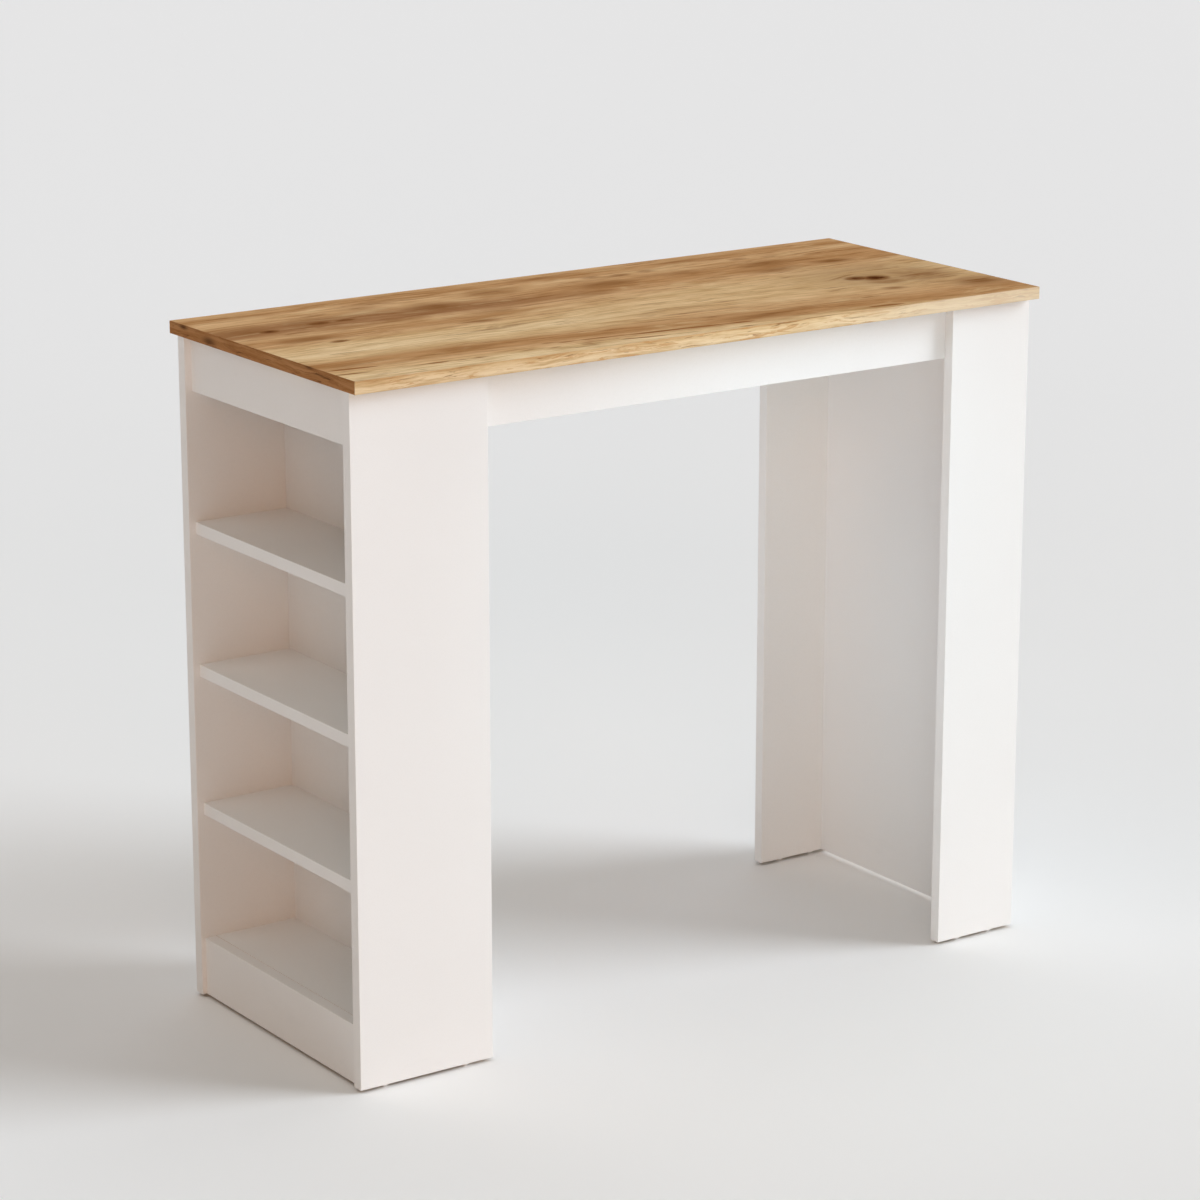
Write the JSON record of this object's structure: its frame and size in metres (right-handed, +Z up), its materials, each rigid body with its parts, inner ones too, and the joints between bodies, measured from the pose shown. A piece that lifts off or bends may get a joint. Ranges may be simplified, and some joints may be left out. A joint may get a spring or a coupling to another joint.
{
  "type": "standing table",
  "caption": "Bar-height standing table: a wood-decor top carried by an open-ended white bookcase pedestal and a U-shaped white panel leg, tied by aprons.",
  "frame": {"origin": "on the floor, under the middle of the table top", "axes": "+X along the table's length from the bookcase towards the leg, -Y towards the front apron's outer face, +Z up"},
  "size_m": [1.17, 0.5, 1],
  "materials": {
    "wood_decor": "satin golden oak decor on chipboard, grain along the length",
    "wood_decor_edge": "satin wood-print edge band",
    "white_board": "white melamine on chipboard, fine satin texture",
    "white_edge": "satin white edge band",
    "beech_dowel": "raw fluted hardwood dowel",
    "zinc_cam": "die-cast zinc",
    "steel_bolt": "bright zinc-plated steel",
    "white_plastic": "moulded white plastic"
  },
  "bodies": {
    "root": {"table_top": "wood_decor", "top_long_edge_bands": "wood_decor_edge", "top_end_edge_bands": "wood_decor_edge", "bookcase_front_side": "white_board", "bookcase_rear_side": "white_board", "bookcase_back_panel": "white_board", "bookcase_top_rail": "white_board", "upper_shelf": "white_board", "middle_shelf": "white_board", "lower_shelf": "white_board", "bottom_shelf": "white_board", "plinth_board": "white_board", "leg_front_panel": "white_board", "leg_rear_panel": "white_board", "leg_web_panel": "white_board", "front_apron": "white_board", "rear_apron": "white_board", "bookcase_upright_edge_bands": "white_edge", "leg_upright_edge_bands": "white_edge", "shelf_edge_bands": "white_edge", "rail_edge_band": "white_edge", "plinth_edge_band": "white_edge", "apron_edge_bands": "white_edge", "shelf_dowels": "beech_dowel", "bottom_shelf_dowels": "beech_dowel", "top_rail_dowels": "beech_dowel", "plinth_dowels": "beech_dowel", "apron_dowels": "beech_dowel", "top_dowels": "beech_dowel", "back_panel_cams": "zinc_cam", "web_cams": "zinc_cam", "apron_cams": "zinc_cam", "top_fixing_cams": "zinc_cam", "back_panel_bolts": "steel_bolt", "web_bolts": "steel_bolt", "apron_bolts": "steel_bolt", "top_fixing_bolts": "steel_bolt", "glide_nails": "steel_bolt", "back_panel_cam_caps": "white_plastic", "web_cam_caps": "white_plastic", "bookcase_glides": "white_plastic", "leg_glides": "white_plastic"}
  },
  "joints": []
}
